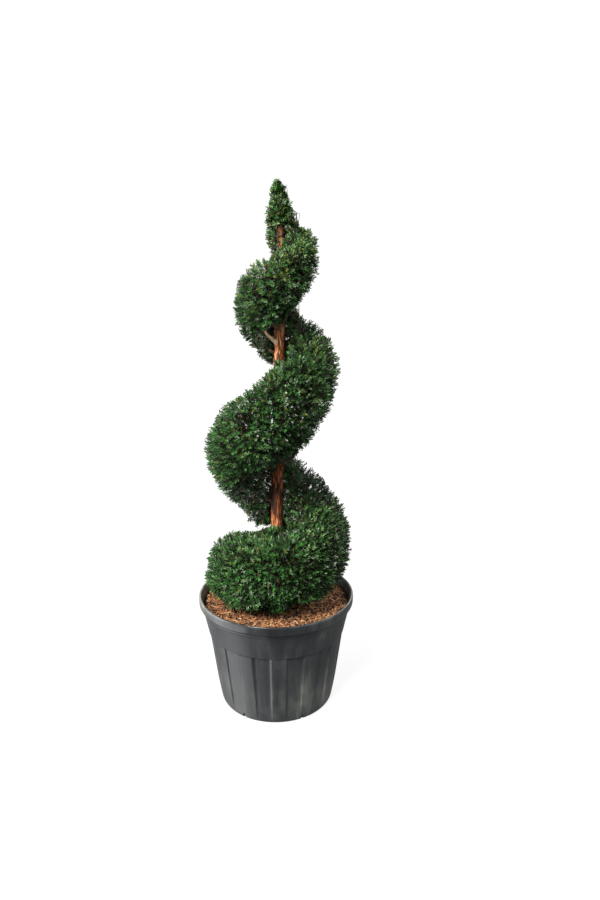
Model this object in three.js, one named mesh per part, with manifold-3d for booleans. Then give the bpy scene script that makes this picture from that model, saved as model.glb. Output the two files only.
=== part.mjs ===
// A yew clipped into a rising spiral, growing in a large fluted nursery pot.
// Millimetres, +Z up, origin at the centre of the pot's flat underside.
// The spiral starts as a round end low on the left, passes the front first and
// climbs to the right, counterclockwise seen from above, with the trunk as its axis.
import * as THREE from "three";
import { mergeVertices } from "three/addons/utils/BufferGeometryUtils.js";
import Module from "manifold-3d";

const wasm = await Module();
wasm.setup();
const { lerp, clamp, degToRad, mapLinear } = THREE.MathUtils;

// Clearances between neighbouring solids
const seatGap = 0.3; // where one piece rests on or grows from another
const sectorGap = 1; // between one mass of foliage and the next along the spiral

// Pot
const potHeight = 499;
const lipRadius = 343;
const lipWidth = 10;
const lipDrop = 34;
const collarRadius = 329;
const collarFoot = 336;
const panelTopRadius = 301;
const footRadius = 253.5; // where the wall meets the rounded foot
const footHeight = 20;
const baseRadius = 240;
const wallThickness = 4;
const floorThickness = 6;
const panelPairs = 13;
const panelRelief = 5;
const raisedPanelStart = -2.2; // degrees from the front
const drainNotches = 6;
const drainNotchSize = [15, 26, 27]; // across, in through the wall, up
const firstDrainNotch = -32.3; // degrees from the front

// Growing medium and the bark mulch on it
const mediumTop = 430;
const mulchEdgeHeight = 452;
const mulchDome = 16;
const mulchBumps = 3;

// Trunk: height, sideways lean and radius
const trunkStations = [
  [mediumTop + seatGap, 0, 46],
  [452, 0, 35],
  [480, 0, 30],
  [560, 2, 27.5],
  [950, 8, 25.5],
  [1300, 17, 24.5],
  [1600, 23, 22],
  [1850, 28, 17],
  [2000, 30, 12],
  [2100, 27, 8],
  [2190, 21, 4],
];
const trunkSides = 12;

// The clipped spiral, one row a quarter turn, from the back left upwards:
// height of the middle of the band, reach from the trunk, half of the band's height
const quarterTurns = [
  [600, 255, 120],
  [610, 318, 165],
  [655, 330, 165],
  [735, 335, 178],
  [905, 332, 172],
  [1120, 316, 190],
  [1328, 289, 200],
  [1468, 252, 170],
  [1608, 224, 150],
  [1738, 198, 140],
  [1820, 172, 138],
  [1922, 157, 118],
  [2000, 115, 88],
  [2050, 64, 75],
  [2088, 60, 64],
  [2118, 60, 52],
];
const spiralStart = -0.12; // in quarter turns, where the round end closes
const roundEnd = 1.0; // the band has its full section from here on
const topRoundness = 2.4; // exponent of the section's outline above its middle
const undersideRoundness = 1.7; // and below it, where it draws in towards the trunk
const massJoints = [-0.12, 1, 1.9, 2.8, 3.7, 4.6, 5.5, 6.4, 7.3, 8.2, 9.2, 10.2, 11.3, 12.5, 15];
const spiralTop = 15;
const tipFoot = 2092; // the level where the pointed tip takes over from the spiral
const tipHeight = 2228;
const tipRadius = 46;

// Sprays of needles that stand out of a mass's clipped core
const sprayStand = 17; // beyond the core, on the wide turns
const smallSprays = 0.5; // share of that size at the top of the spiral
const sprayWidth = 92;
const sprayRoot = 18; // sunk in the core
const sprayThickness = 3;
const sprayRows = 4; // along a mass
const spraysInRow = 4; // round its section
const coreSides = 12;
const coreSteps = 6; // for each quarter turn
const coreLumps = 6;
const innerClearance = 14; // from the trunk to the core's inner side

// Boughs that carry the masses
const boughRadius = 8;
const boughTipRadius = 4.5;
const boughSides = 6;
const boughSlope = 0.6; // rise over run
const boughSag = 5;
const boughEntry = degToRad(-112); // round the band's section, on its underside near the trunk
const stemLength = 24; // bare stem between the bough's tip and the core
const twigRadius = 3.2;
const twigsOnStem = 2;

const finish = (color, roughness) => new THREE.MeshStandardMaterial({ color, roughness });
const finishes = {
  pot: finish("#3a3e41", 0.5),
  medium: finish("#33241a", 1),
  mulch: finish("#a3673a", 0.95),
  bark: finish("#7d4a2c", 0.9),
  needles: finish("#2f5a2a", 0.7),
};

const plant = new THREE.Group();
const up = new THREE.Vector3(0, 0, 1);

// Seeded random numbers from 0 to 1
function seeded(seed) {
  let state = seed;
  return () => {
    state = (state + 0x6d2b79f5) | 0;
    let mixed = Math.imul(state ^ (state >>> 15), 1 | state);
    mixed = (mixed + Math.imul(mixed ^ (mixed >>> 7), 61 | mixed)) ^ mixed;
    return ((mixed ^ (mixed >>> 14)) >>> 0) / 4294967296;
  };
}

// A closed geometry as a solid that can be joined and cut
function solid(geometry) {
  const bare = geometry.clone();
  bare.deleteAttribute("normal");
  bare.deleteAttribute("uv");
  const merged = mergeVertices(bare);
  const vertProperties = new Float32Array(merged.getAttribute("position").array);
  const triVerts = new Uint32Array(merged.index.array);
  return new wasm.Manifold(new wasm.Mesh({ numProp: 3, vertProperties, triVerts }));
}

function addMesh(name, body, material) {
  const { vertProperties, triVerts } = body.getMesh();
  const geometry = new THREE.BufferGeometry();
  geometry.setAttribute("position", new THREE.BufferAttribute(vertProperties, 3));
  geometry.setIndex(new THREE.BufferAttribute(triVerts, 1));
  geometry.computeVertexNormals();
  const mesh = new THREE.Mesh(geometry, material);
  mesh.name = name;
  plant.add(mesh);
}

// Smooth curve through the rows of a table
function smoothTable(at, rows) {
  return new THREE.CubicInterpolant(at, rows.flat(), rows[0].length);
}

// Moves each vertex of a geometry to place(x, y, z)
function reshape(geometry, place) {
  const position = geometry.getAttribute("position");
  for (let i = 0; i < position.count; i++) {
    const moved = place(position.getX(i), position.getY(i), position.getZ(i));
    position.setXYZ(i, moved.x, moved.y, moved.z);
  }
  return geometry;
}

// Turned shapes of the pot: every column of a turned profile stands at an edge of one
// of the wall's panels, raised and recessed by turns.
const pairAngle = 360 / panelPairs;
const columns = [0, 0.44, 0.485, 0.955]; // shares of a raised and recessed pair
const columnCount = columns.length * panelPairs;

function columnAngle(index) {
  const pair = Math.floor(index / columns.length);
  const share = columns[index % columns.length];
  return degToRad(raisedPanelStart + (pair + share) * pairAngle);
}

const isRecessed = (index) => index % columns.length >= columns.length / 2;

// profile holds [radius, height] pairs; change(radius, height, column) may alter a vertex
function turned(profile, change = (radius, height) => [radius, height]) {
  const points = profile.map(([radius, height]) => new THREE.Vector2(radius, height));
  const lathe = new THREE.LatheGeometry(points, columnCount);
  const position = lathe.getAttribute("position");
  for (let i = 0; i < position.count; i++) {
    const column = Math.floor(i / points.length) % columnCount;
    const [radius, height] = change(points[i % points.length].x, points[i % points.length].y, column);
    const angle = columnAngle(column);
    position.setXYZ(i, radius * Math.sin(angle), -radius * Math.cos(angle), height);
  }
  return solid(lathe);
}

// Inside of the wall, from the floor up: radius and height
const insideWall = [
  [baseRadius + wallThickness, floorThickness],
  [panelTopRadius - 2 - panelRelief - wallThickness, collarFoot - 4],
  [panelTopRadius + 1 - wallThickness, collarFoot + 4],
  [collarRadius - wallThickness, potHeight - lipDrop],
];

function innerRadius(height) {
  const above = insideWall.findIndex(([, z], i) => i > 0 && (z >= height || i === insideWall.length - 1));
  const [[lowRadius, low], [highRadius, high]] = insideWall.slice(above - 1, above + 1);
  return mapLinear(height, low, high, lowRadius, highRadius);
}

function pot() {
  const lipFoot = potHeight - lipDrop;
  const lipInner = lipRadius - lipWidth;
  const outside = [
    [0, 0],
    [baseRadius, 0],
    [lerp(baseRadius, footRadius, 0.7), 0.35 * footHeight],
    [footRadius, footHeight],
    [lerp(footRadius, panelTopRadius, 0.3), 100],
    [panelTopRadius - 2, collarFoot - 4],
    [panelTopRadius + 2, collarFoot],
    [collarRadius, lipFoot - 2],
    [lipRadius - 4, lipFoot],
    [lipRadius - 1, lipFoot + 6],
    [lipRadius, potHeight - 9],
    [lipRadius - 2.5, potHeight - 2],
    [lipRadius - 5, potHeight],
    [lipInner + 1.5, potHeight - 1.5],
    [lipInner, potHeight - 6],
  ];
  const inside = [...insideWall.toReversed(), [0, floorThickness]];
  const relief = smoothTable([0, footHeight, 100, collarFoot - 4, collarFoot], [[0], [0], [0.8], [1], [0]]);
  const recess = (radius, height, column) => {
    const outer = height > 0 && height < collarFoot && radius > innerRadius(height) + 1;
    const depth = outer && isRecessed(column) ? panelRelief * relief.evaluate(height)[0] : 0;
    return [radius - depth, height];
  };
  let body = turned([...outside, ...inside], recess);
  for (let i = 0; i < drainNotches; i++) {
    const [across, inward, rise] = drainNotchSize;
    const angle = degToRad(firstDrainNotch + (i * 360) / drainNotches);
    const notch = new THREE.BoxGeometry(across, inward, 2 * rise)
      .translate(0, -footRadius + 4, 0)
      .rotateZ(angle);
    body = body.subtract(solid(notch));
  }
  return body;
}

function medium() {
  const bends = insideWall.slice(1, 3).map(([, height]) => height);
  const heights = [floorThickness + seatGap, ...bends, mediumTop];
  const side = heights.map((height) => [innerRadius(height) - 2 * seatGap, height]);
  return turned([[0, heights[0]], ...side, [0, mediumTop]]);
}

// Height of the mulch's surface at a distance from the pot's axis
function mulchTop(radius) {
  return mulchEdgeHeight + mulchDome * (1 - (radius / innerRadius(mulchEdgeHeight)) ** 2);
}

function mulch() {
  const foot = mediumTop + seatGap;
  const edge = innerRadius(mediumTop) - 2 * seatGap;
  const rings = [1, 0.88, 0.74, 0.58, 0.36].map((share) => [share * edge, mulchTop(share * edge)]);
  const loosen = (radius, height, column) => {
    const loose = height > foot && radius > 0 ? mulchBumps : 0;
    return [radius, height + loose * Math.sin(2.4 * column + 0.11 * radius)];
  };
  const layer = turned([[0, foot], [edge, foot], ...rings, [0, mulchTop(0)]], loosen);
  return layer.subtract(trunk(seatGap));
}

// Trunk
const trunkAt = smoothTable(
  trunkStations.map(([height]) => height),
  trunkStations.map(([, lean, radius]) => [lean, radius]),
);
const trunkFoot = trunkStations[0][0];
const trunkTip = trunkStations.at(-1)[0];
const leanAt = (height) => trunkAt.evaluate(clamp(height, trunkFoot, trunkTip))[0];
const trunkRadius = (height) => trunkAt.evaluate(clamp(height, trunkFoot, trunkTip))[1];

// The trunk, or with a clearance above 0 the space that it and its clearance fill
function trunk(clearance = 0) {
  const steps = 15;
  const rod = new THREE.CylinderGeometry(1, 1, 1, trunkSides, steps);
  return solid(
    reshape(rod, (x, y, z) => {
      const along = (y + 0.5) ** 1.5; // closer rings round the flare
      const height = lerp(trunkFoot, trunkTip, along);
      const radius = trunkRadius(height) + clearance;
      const end = clearance * Math.sign(y) * (Math.abs(y) === 0.5 ? 1 : 0);
      return new THREE.Vector3(leanAt(height) + radius * z, radius * x, height + end);
    }),
  );
}

// The clipped band. turn counts quarter turns; around is the angle round its section,
// 0 outwards and a quarter of a circle straight up.
const bandAt = smoothTable(quarterTurns.map((row, index) => index), quarterTurns);
const azimuth = (turn) => (Math.PI / 2) * (1 + turn);
const outward = (turn) => new THREE.Vector3(Math.cos(azimuth(turn)), Math.sin(azimuth(turn)), 0);
const onward = (turn) => new THREE.Vector3(-Math.sin(azimuth(turn)), Math.cos(azimuth(turn)), 0);

function station(turn) {
  const [height, reach, half] = bandAt.evaluate(clamp(turn, 0, spiralTop));
  return { height, reach, half };
}

const standAt = (turn) => sprayStand * clamp(station(turn).reach / 200, smallSprays, 1);

// A point of the band's surface, inset by a distance from what the sprays reach
function bandPoint(turn, around, inset) {
  const { height, reach, half } = station(turn);
  const inner = trunkRadius(height) + innerClearance * clamp(reach / 150, 0.4, 1);
  const roundness = Math.sin(around) > 0 ? topRoundness : undersideRoundness;
  const bulge = (value) => Math.sign(value) * Math.abs(value) ** (2 / roundness);
  const closing = clamp((roundEnd - turn) / (roundEnd - spiralStart), 0, 0.97);
  const full = Math.sqrt(1 - closing ** 2);
  const middle = (reach - inset + inner) / 2;
  const radius = middle + full * (reach - inset - middle) * bulge(Math.cos(around));
  const lift = full * (half - inset) * bulge(Math.sin(around));
  const rise = clamp(height + lift, mulchTop(0) + 8 + 0.4 * inset, tipHeight);
  return outward(turn).multiplyScalar(radius).add(new THREE.Vector3(leanAt(rise), 0, rise));
}

// Uneven growth of a core's outer side, the same on both sides of a joint between masses
function lump(turn, around) {
  const outside = Math.max(0, Math.cos(around / 2)) * clamp(station(turn).reach / 300, 0, 1);
  const wave = Math.sin(11 * turn + 2 * Math.sin(3 * around)) * Math.cos(4 * around - 5 * turn);
  return coreLumps * outside * wave;
}

function core({ from, to }) {
  const steps = Math.ceil(coreSteps * Math.min(to - from, 1.5));
  const sleeve = new THREE.CylinderGeometry(1, 1, 1, coreSides, steps);
  return solid(
    reshape(sleeve, (x, y, z) => {
      const turn = lerp(from, to, y + 0.5);
      const around = Math.atan2(z, x);
      const inset = standAt(turn) + lump(turn, around);
      const rim = bandPoint(turn, around, inset);
      const hub = bandPoint(turn, 0, inset).lerp(bandPoint(turn, Math.PI, inset), 0.5);
      return hub.lerp(rim, Math.hypot(x, z)).addScaledVector(onward(turn), -y * sectorGap);
    }),
  );
}

// Outward normal of the band at a turn and an angle round its section
function bandNormal(turn, around, inset) {
  const step = 0.03;
  const along = bandPoint(turn + step, around, inset).sub(bandPoint(turn - step, around, inset));
  const across = bandPoint(turn, around + step, inset).sub(bandPoint(turn, around - step, inset));
  return along.cross(across).normalize();
}

// A toothed blade: its root below the origin, standing up +Y, flat in Z
function blade(stand, width) {
  const half = width / 2;
  const outline = new THREE.Shape([
    new THREE.Vector2(-0.3 * half, -sprayRoot),
    new THREE.Vector2(0.3 * half, -sprayRoot),
    new THREE.Vector2(half, 0.42 * stand),
    new THREE.Vector2(0.34 * half, 0.3 * stand),
    new THREE.Vector2(0, stand),
    new THREE.Vector2(-0.34 * half, 0.3 * stand),
    new THREE.Vector2(-half, 0.42 * stand),
  ]);
  const depth = sprayThickness;
  return new THREE.ExtrudeGeometry(outline, { depth, bevelEnabled: false }).translate(0, 0, -depth / 2);
}

// A spray whose root sits at a point of a core, leaning up from the outward normal
function spray(root, normal, stand, share, random) {
  const growth = normal.clone().addScaledVector(up, 0.3).normalize();
  const twist = 2.4 * (random() - 0.5);
  const side = new THREE.Vector3().crossVectors(growth, up).normalize().applyAxisAngle(growth, twist);
  const face = new THREE.Vector3().crossVectors(side, growth);
  const width = sprayWidth * share * lerp(0.85, 1.1, random());
  return blade(stand, width).applyMatrix4(new THREE.Matrix4().makeBasis(side, growth, face).setPosition(root));
}

// Whether a point near a turn of the spiral stays in a mass's own space, off the limbs,
// the mulch and the pot
function isFree(point, turn, { from, to, low, high, track }) {
  const radius = Math.hypot(point.x - leanAt(point.z), point.y);
  const fromAxis = Math.hypot(point.x, point.y);
  const angle = Math.atan2(point.y, point.x - leanAt(point.z)) - azimuth(turn);
  const off = Math.atan2(Math.sin(angle), Math.cos(angle));
  const ahead = (to - turn) * (Math.PI / 2) - off;
  const behind = (turn - from) * (Math.PI / 2) + off;
  const inSector = radius * Math.min(ahead, behind) > 2 * sectorGap;
  const offLimbs = track.every((centre) => centre.distanceTo(point) > boughRadius + 9);
  const offTrunk = radius > trunkRadius(point.z) + 5;
  const inPot = point.z < potHeight + 5;
  const offPot = fromAxis < (inPot ? innerRadius(point.z) - 5 : lipRadius - 4);
  const offMulch = point.z > mulchTop(fromAxis) + mulchBumps + 2;
  return inSector && offLimbs && offTrunk && offPot && offMulch && point.z > low && point.z < high;
}

function fits(geometry, turn, space) {
  const position = geometry.getAttribute("position");
  const corner = new THREE.Vector3();
  for (let i = 0; i < position.count; i++) {
    if (!isFree(corner.fromBufferAttribute(position, i), turn, space)) return false;
  }
  return true;
}

// Sprays on an even, jittered spread over the outside of a mass
function bandSprays(space, random) {
  const { from, to } = space;
  const grown = [];
  const rows = Math.round(sprayRows * Math.min(to - from, 1.25));
  for (let row = 0; row < rows; row++) {
    for (let i = 0; i < spraysInRow; i++) {
      const turn = lerp(from, to, (row + 0.5 + 0.3 * (random() - 0.5)) / rows);
      const place = (row % 2) / 2 + 0.25 + 0.3 * (random() - 0.5);
      const around = lerp(-2.3, 2.3, (i + place) / spraysInRow);
      const stand = standAt(turn);
      const root = bandPoint(turn, around, stand + 3);
      const normal = bandNormal(turn, around, stand);
      const made = spray(root, normal, stand + 4, stand / sprayStand, random);
      if (fits(made, turn, space)) grown.push(solid(made));
    }
  }
  return grown;
}

// A straight tapering limb between two points, sagging by a bend at its middle
function limb(start, end, startRadius, endRadius, sides, steps = 1, bend = 0) {
  const rod = new THREE.CylinderGeometry(1, 1, 1, sides, steps);
  const axis = end.clone().sub(start).normalize();
  const side = new THREE.Vector3().crossVectors(axis, up).normalize();
  const over = new THREE.Vector3().crossVectors(side, axis);
  const shaped = reshape(rod, (x, y, z) => {
    const along = y + 0.5;
    const radius = lerp(startRadius, endRadius, along);
    const centre = start.clone().lerp(end, along).addScaledVector(over, -4 * bend * along * (1 - along));
    return centre.addScaledVector(side, radius * x).addScaledVector(over, radius * z);
  });
  return solid(shaped);
}

// Where a mass's bough leaves the trunk, and where its stem enters the core
function route({ from, to }) {
  const turn = lerp(from, to, 0.5);
  const entry = bandPoint(turn, boughEntry, standAt(turn));
  const run = Math.hypot(entry.x - leanAt(entry.z), entry.y) - trunkRadius(entry.z);
  const lowest = mulchTop(0) + 22;
  const rootHeight = Math.max(entry.z - boughSlope * run, lowest);
  const root = new THREE.Vector3(leanAt(rootHeight), 0, rootHeight);
  const direction = entry.clone().sub(root).normalize();
  const bare = Math.min(stemLength, 0.4 * run);
  const tip = entry.clone().addScaledVector(direction, -bare);
  const track = [0, 0.2, 0.4, 0.6, 0.8, 1].map((along) => root.clone().lerp(tip, along));
  return { root, tip, entry, direction, track };
}

function bough({ root, tip }) {
  const rod = limb(root, tip, boughRadius, boughTipRadius, boughSides, 3, boughSag);
  return rod.subtract(trunk(seatGap));
}

// The bare stem that carries a mass on from its bough's tip, with its first twigs
function stem({ tip, entry, direction }, random) {
  const start = tip.clone().addScaledVector(direction, seatGap);
  const sunk = entry.clone().addScaledVector(direction, 16);
  const fork = start.clone().lerp(sunk, 0.3);
  const parts = [limb(start, sunk, boughTipRadius, twigRadius, boughSides)];
  for (let i = 0; i < twigsOnStem; i++) {
    const spread = new THREE.Vector3(random() - 0.5, random() - 0.5, 0.3 * random()).normalize();
    const end = sunk.clone().addScaledVector(spread, 18);
    parts.push(limb(fork, end, twigRadius, 0.6 * twigRadius, 3));
  }
  return parts;
}

const joined = (bodies) => bodies.reduce((sum, body) => sum.add(body));

// Drops scraps that a cut left loose, keeping the largest body
function largest(body) {
  return body.decompose().reduce((best, piece) => (piece.volume() > best.volume() ? piece : best));
}

// The pointed tip: a slim cone round the leader, and the spiral's end where it runs on into it
function tipMass(space, lastMass) {
  const random = seeded(500);
  const stand = sprayStand * smallSprays;
  const coneTop = tipHeight - 22;
  const coneRadius = (height) => (tipRadius - stand) * clamp((coneTop - height) / (coneTop - tipFoot), 0, 1) ** 0.8;
  const levels = [1, 0.75, 0.5, 0.25, 0].map((share) => lerp(tipFoot, coneTop, share));
  const points = [[0, tipFoot], ...levels.reverse().map((height) => [coneRadius(height), height])];
  const outline = points.map(([radius, height]) => new THREE.Vector2(radius, height));
  const cone = reshape(
    new THREE.LatheGeometry(outline, 10),
    (x, y, z) => new THREE.Vector3(leanAt(y) + z, x, y),
  );
  const grown = [solid(cone), core(lastMass).trimByPlane([0, 0, 1], tipFoot)];
  const rings = 4;
  for (let ring = 0; ring < rings; ring++) {
    const height = lerp(tipFoot + 14, coneTop - 14, ring / (rings - 1));
    for (let i = 0; i < 5; i++) {
      const angle = ((i + ring / 2 + 0.3 * random()) * 2 * Math.PI) / 5;
      const out = new THREE.Vector3(Math.cos(angle), Math.sin(angle), 0);
      const root = new THREE.Vector3(leanAt(height), 0, height).addScaledVector(out, coneRadius(height) - 2);
      const made = spray(root, out.clone().addScaledVector(up, 0.8), stand + 4, smallSprays, random);
      if (fits(made, spiralTop, space)) grown.push(solid(made));
    }
  }
  const crown = new THREE.Vector3(leanAt(coneTop), 0, coneTop - 2);
  grown.push(solid(blade(tipHeight - crown.z, 26).rotateX(Math.PI / 2).translate(crown.x, crown.y, crown.z)));
  return joined(grown);
}

addMesh("pot", pot(), finishes.pot);
addMesh("growing_medium", medium(), finishes.medium);
addMesh("bark_mulch", mulch(), finishes.mulch);
addMesh("trunk", trunk(), finishes.bark);

const trunkSpace = trunk(2);
const lastMass = { from: massJoints.at(-2), to: massJoints.at(-1) };

for (let i = 0; i < massJoints.length - 1; i++) {
  const [from, to] = massJoints.slice(i, i + 2);
  const number = String(i + 1).padStart(2, "0");
  const random = seeded(100 + i);
  const way = route({ from, to });
  const space = { from, to, low: 0, high: tipFoot - 2 * sectorGap, track: way.track };
  const grown = joined([core(space), ...bandSprays(space, random)]);
  const trimmed = grown.trimByPlane([0, 0, -1], sectorGap - tipFoot).subtract(trunkSpace);
  const mass = joined([trimmed, ...stem(way, random)]);
  addMesh("bough_" + number, bough(way), finishes.bark);
  addMesh("foliage_" + number, largest(mass), finishes.needles);
}

const tipSpace = { from: spiralTop - 4, to: spiralTop + 4, low: tipFoot + 1, high: tipHeight, track: [] };
const leader = new THREE.Vector3(leanAt(tipFoot + 12), 0, tipFoot + 12);
const tipStem = limb(leader, leader.clone().add(new THREE.Vector3(24, 0, 12)), 4, 3, boughSides);
const tip = tipMass(tipSpace, lastMass).subtract(trunkSpace).add(tipStem.subtract(trunk(seatGap)));
addMesh("foliage_tip", largest(tip), finishes.needles);

export default plant;
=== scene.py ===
"""A yew clipped into a rising spiral in its nursery pot, dressed over its solids.

Metres, +Z up, origin at the centre of the pot's flat underside. The sizes of the pot,
the trunk and the spiral repeat those of the part's source, so that every needle, twig
and shred stays where the solids are.
"""

import math

import bmesh
import bpy
import numpy as np
from mathutils import Matrix, Vector, noise


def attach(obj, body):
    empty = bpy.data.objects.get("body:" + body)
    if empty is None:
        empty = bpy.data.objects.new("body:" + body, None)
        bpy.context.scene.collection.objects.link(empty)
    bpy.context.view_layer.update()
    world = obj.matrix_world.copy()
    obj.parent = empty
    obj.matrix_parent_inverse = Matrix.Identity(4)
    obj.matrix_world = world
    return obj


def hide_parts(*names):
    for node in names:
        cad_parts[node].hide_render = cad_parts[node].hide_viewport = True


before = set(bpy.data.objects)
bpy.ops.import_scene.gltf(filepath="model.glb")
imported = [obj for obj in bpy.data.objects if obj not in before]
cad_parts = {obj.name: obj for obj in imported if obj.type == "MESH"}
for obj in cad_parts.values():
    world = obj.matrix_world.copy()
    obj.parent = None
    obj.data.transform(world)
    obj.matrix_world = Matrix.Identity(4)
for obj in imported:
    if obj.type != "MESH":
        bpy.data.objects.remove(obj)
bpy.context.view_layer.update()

# Pot
POT_HEIGHT = 0.499
LIP_RADIUS = 0.343
LIP_WIDTH = 0.010
LIP_DROP = 0.040
LIP_STEP_HEIGHT = 0.444
COLLAR_RADIUS = 0.329
COLLAR_FOOT = 0.336
PANEL_TOP_RADIUS = 0.301
FOOT_RADIUS = 0.2535  # where the wall meets the rounded foot
FOOT_HEIGHT = 0.020
BASE_RADIUS = 0.240
FLOOR_THICKNESS = 0.006
# Inside of the wall, from the floor up: radius and height
INSIDE_WALL = [(0.244, 0.006), (0.290, 0.332), (0.298, 0.340), (0.325, 0.465)]
PANEL_PAIRS = 13
PANEL_RELIEF = 0.005
RAISED_PANEL_START = -2.2  # degrees from the front, towards +X
# Shares of a pair of panels: where the recessed panel starts and where its far step starts, and
# how much each step takes
RECESS_START = 0.44
RECESS_END = 0.955
RECESS_STEP = 0.045
PANEL_FADE = 0.080  # height over which the relief grows from the rounded foot
DRAIN_NOTCHES = 6
FIRST_DRAIN_NOTCH = -32.3  # degrees from the front
NOTCH_WIDTH = 0.015
NOTCH_HEIGHT = 0.027
NOTCH_ROD = 0.026  # length of the rods that cut the notches

# Mulch
MEDIUM_TOP = 0.430
MULCH_EDGE_HEIGHT = 0.452
MULCH_DOME = 0.016
MULCH_HOLE = 0.032  # radius of the hole for the trunk
SEAT_GAP = 0.0003  # between the medium and the mulch
SHREDS = 6600
SHRED_RADII = (0.046, 0.314)  # distances of their middles from the pot's axis
SHRED_LENGTHS = (0.008, 0.045)
SHRED_WIDTHS = (0.0040, 0.0080)
SHRED_SHARES = [0.38, 0.29, 0.19, 0.11, 0.03]  # of each colour, in the order of shreds_of

# Trunk: height, sideways lean, radius
TRUNK = [
    (0.4303, 0, 0.046),
    (0.452, 0, 0.035),
    (0.480, 0, 0.030),
    (0.560, 0.002, 0.0275),
    (0.950, 0.008, 0.0255),
    (1.300, 0.017, 0.0245),
    (1.600, 0.023, 0.022),
    (1.850, 0.028, 0.017),
    (2.000, 0.030, 0.012),
    (2.100, 0.027, 0.008),
    (2.190, 0.021, 0.004),
]
FLAKE_RELIEF = 0.0016  # how far flakes of bark stand out
CRACK_DEPTH = 0.0022

# The clipped spiral: quarter turns from the back, rising by the left and the front, height of
# the middle of the band, reach from the trunk, half of the band's height
TURNS = [
    (0, 0.600, 0.255, 0.120),
    (1, 0.610, 0.318, 0.165),
    (2, 0.655, 0.330, 0.165),
    (3, 0.735, 0.335, 0.178),
    (4, 0.905, 0.332, 0.172),
    (5, 1.120, 0.316, 0.190),
    (6, 1.328, 0.289, 0.200),
    (7, 1.468, 0.252, 0.170),
    (8, 1.608, 0.224, 0.150),
    (9, 1.738, 0.198, 0.140),
    (10, 1.820, 0.172, 0.138),
    (11, 1.922, 0.157, 0.118),
    (12, 2.000, 0.115, 0.088),
    (13, 2.050, 0.064, 0.075),
    (14, 2.088, 0.060, 0.064),
    (15, 2.118, 0.060, 0.052),
]
SPIRAL_START = -0.12
ROUND_END = 1.0  # place where the round end has its full section
TOP_ROUNDNESS = 2.4
UNDERSIDE_ROUNDNESS = 1.7
INNER_CLEARANCE = 0.014
MASS_JOINTS = [SPIRAL_START, 1, 1.9, 2.8, 3.7, 4.6, 5.5, 6.4, 7.3, 8.2, 9.2, 10.2, 11.3, 12.5, 15]
TIP_FOOT = 2.092
TIP_HEIGHT = 2.228
TIP_RADIUS = 0.046

# Boughs
BOUGH_RADIUS = 0.008
BOUGH_TIP_RADIUS = 0.0045
BOUGH_SLOPE = 0.6  # rise over run
BOUGH_SAG = 0.005
BOUGH_ENTRY = math.radians(-112)  # place round the band's section where the stem enters
SPRAY_STAND = 0.017  # how far inside the clipped surface that is
STEM_LENGTH = 0.024

# Shoots and needles
SHOOT_SPACING = 0.0195  # between the shoots of the clipped surface
SHOOT_DEPTH = 0.014  # how far under the clipped surface its lowest shoots end
CREASE_DEPTH = 0.020  # and how much further where two tufts meet
TUFT_SCALE = 15  # of the tufts' pattern, about 65 mm from one to the next
INNER_SHOOTS = 0.75  # share of that count again, deeper in
INNER_DEPTHS = (0.026, 0.095)  # how far under the surface those end
SHOOT_LENGTH = 0.046
NEEDLES_ON_SHOOT = 14
NEEDLES_ON_INNER_SHOOT = 10
NEEDLE_LENGTH = 0.0160
NEEDLE_WIDTH = 0.0035
# Round this place of the spiral the top is less clipped: how wide that is, and how much higher
LOOSE_TURN = 12.1
LOOSE_WIDTH = 0.9
LOOSE_TOP = 0.018
TIP_SHOOTS = 360
GOLDEN_ANGLE = 2.39996
TWIG_CELL = 0.052  # size of the cubes of space whose shoots share a twig
BRANCH_CELL = 0.115  # and of those whose twigs share a branch
OWN_COLOUR = 0.60  # share of a shoot's young needles that have its own colour
# The deep green is near black: on older needles and the rest it is painted shade among the shoots
MID_COLOUR = 0.25  # share that are mid green; the rest, and its older needles, are deep green
YOUNG_SHARE = 0.52  # of a shoot's length, where its older needles end and its young ones start
# Next to the trunk the band runs on along the bark instead of closing: how much further than
# its half height it hangs and climbs there, and the share of the hang on each side
HANG = 0.50
LEFT_HANG, FRONT_HANG, RIGHT_HANG = 1.0, 0.65, 1.0
CLIMB = 0.06
RIGHT_CLIMB = 0.60
# Where the band is drawn out of its clipped section: place along the spiral, width in quarter
# turns, how far its top or, with a minus, its underside is drawn, and 1 for its outer side or 0
# for the side next to the trunk
DRAWN_OUT = [
    (3.60, 0.60, 0.100, 0),
    (4.60, 0.50, -0.075, 0),
    (6.70, 0.55, -0.100, 0),
    (2.95, 0.50, -0.075, 1),
]
# Hollows in the clipped surface: middle and radius
HOLLOWS = [(0.051, -0.290, 0.783, 0.036), (-0.108, -0.255, 1.319, 0.034)]
# Stretches of the trunk that show bare from the front: lowest and highest point
BARE_STRETCHES = [(0.821, 1.083), (1.533, 1.674), (2.000, 2.056)]
BARE_MARGIN = 0.010
# A bare side limb: where it leaves the middle of the trunk, and its tip
BARE_LIMB = [(0.022, 0, 1.588), (-0.034, -0.060, 1.644)]

# Where looks change with place, as heights or, for the left and right, along X: where each
# change starts, and where it is full
DUSTY_FOOT = (0.42, 0.0)
# Left and right, the pot's dust is partly painted light; on the lip's crest, partly a painted highlight
DUST_AND_LIGHT_LEFT = (-0.18, -0.34)
DUST_AND_LIGHT_RIGHT = (0.05, 0.30)
DUST_AND_HIGHLIGHT_CREST = (0.486, 0.498)
# Painted shade and light on the trunk's bark
BARK_PAINTED_SHADE_AND_LIGHT = (0.9, 1.6)
BARK_PAINTED_LIGHT_LOW = (0.91, 0.83)
# Painted light near the top; low down, painted shade on the right and painted light on the left
PAINTED_SUN_NEEDLES = (1.70, 2.15)
PAINTED_SUN_SHOOTS = (1.70, 2.10)
LOW_SHOOTS = (1.45, 1.05)

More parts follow.
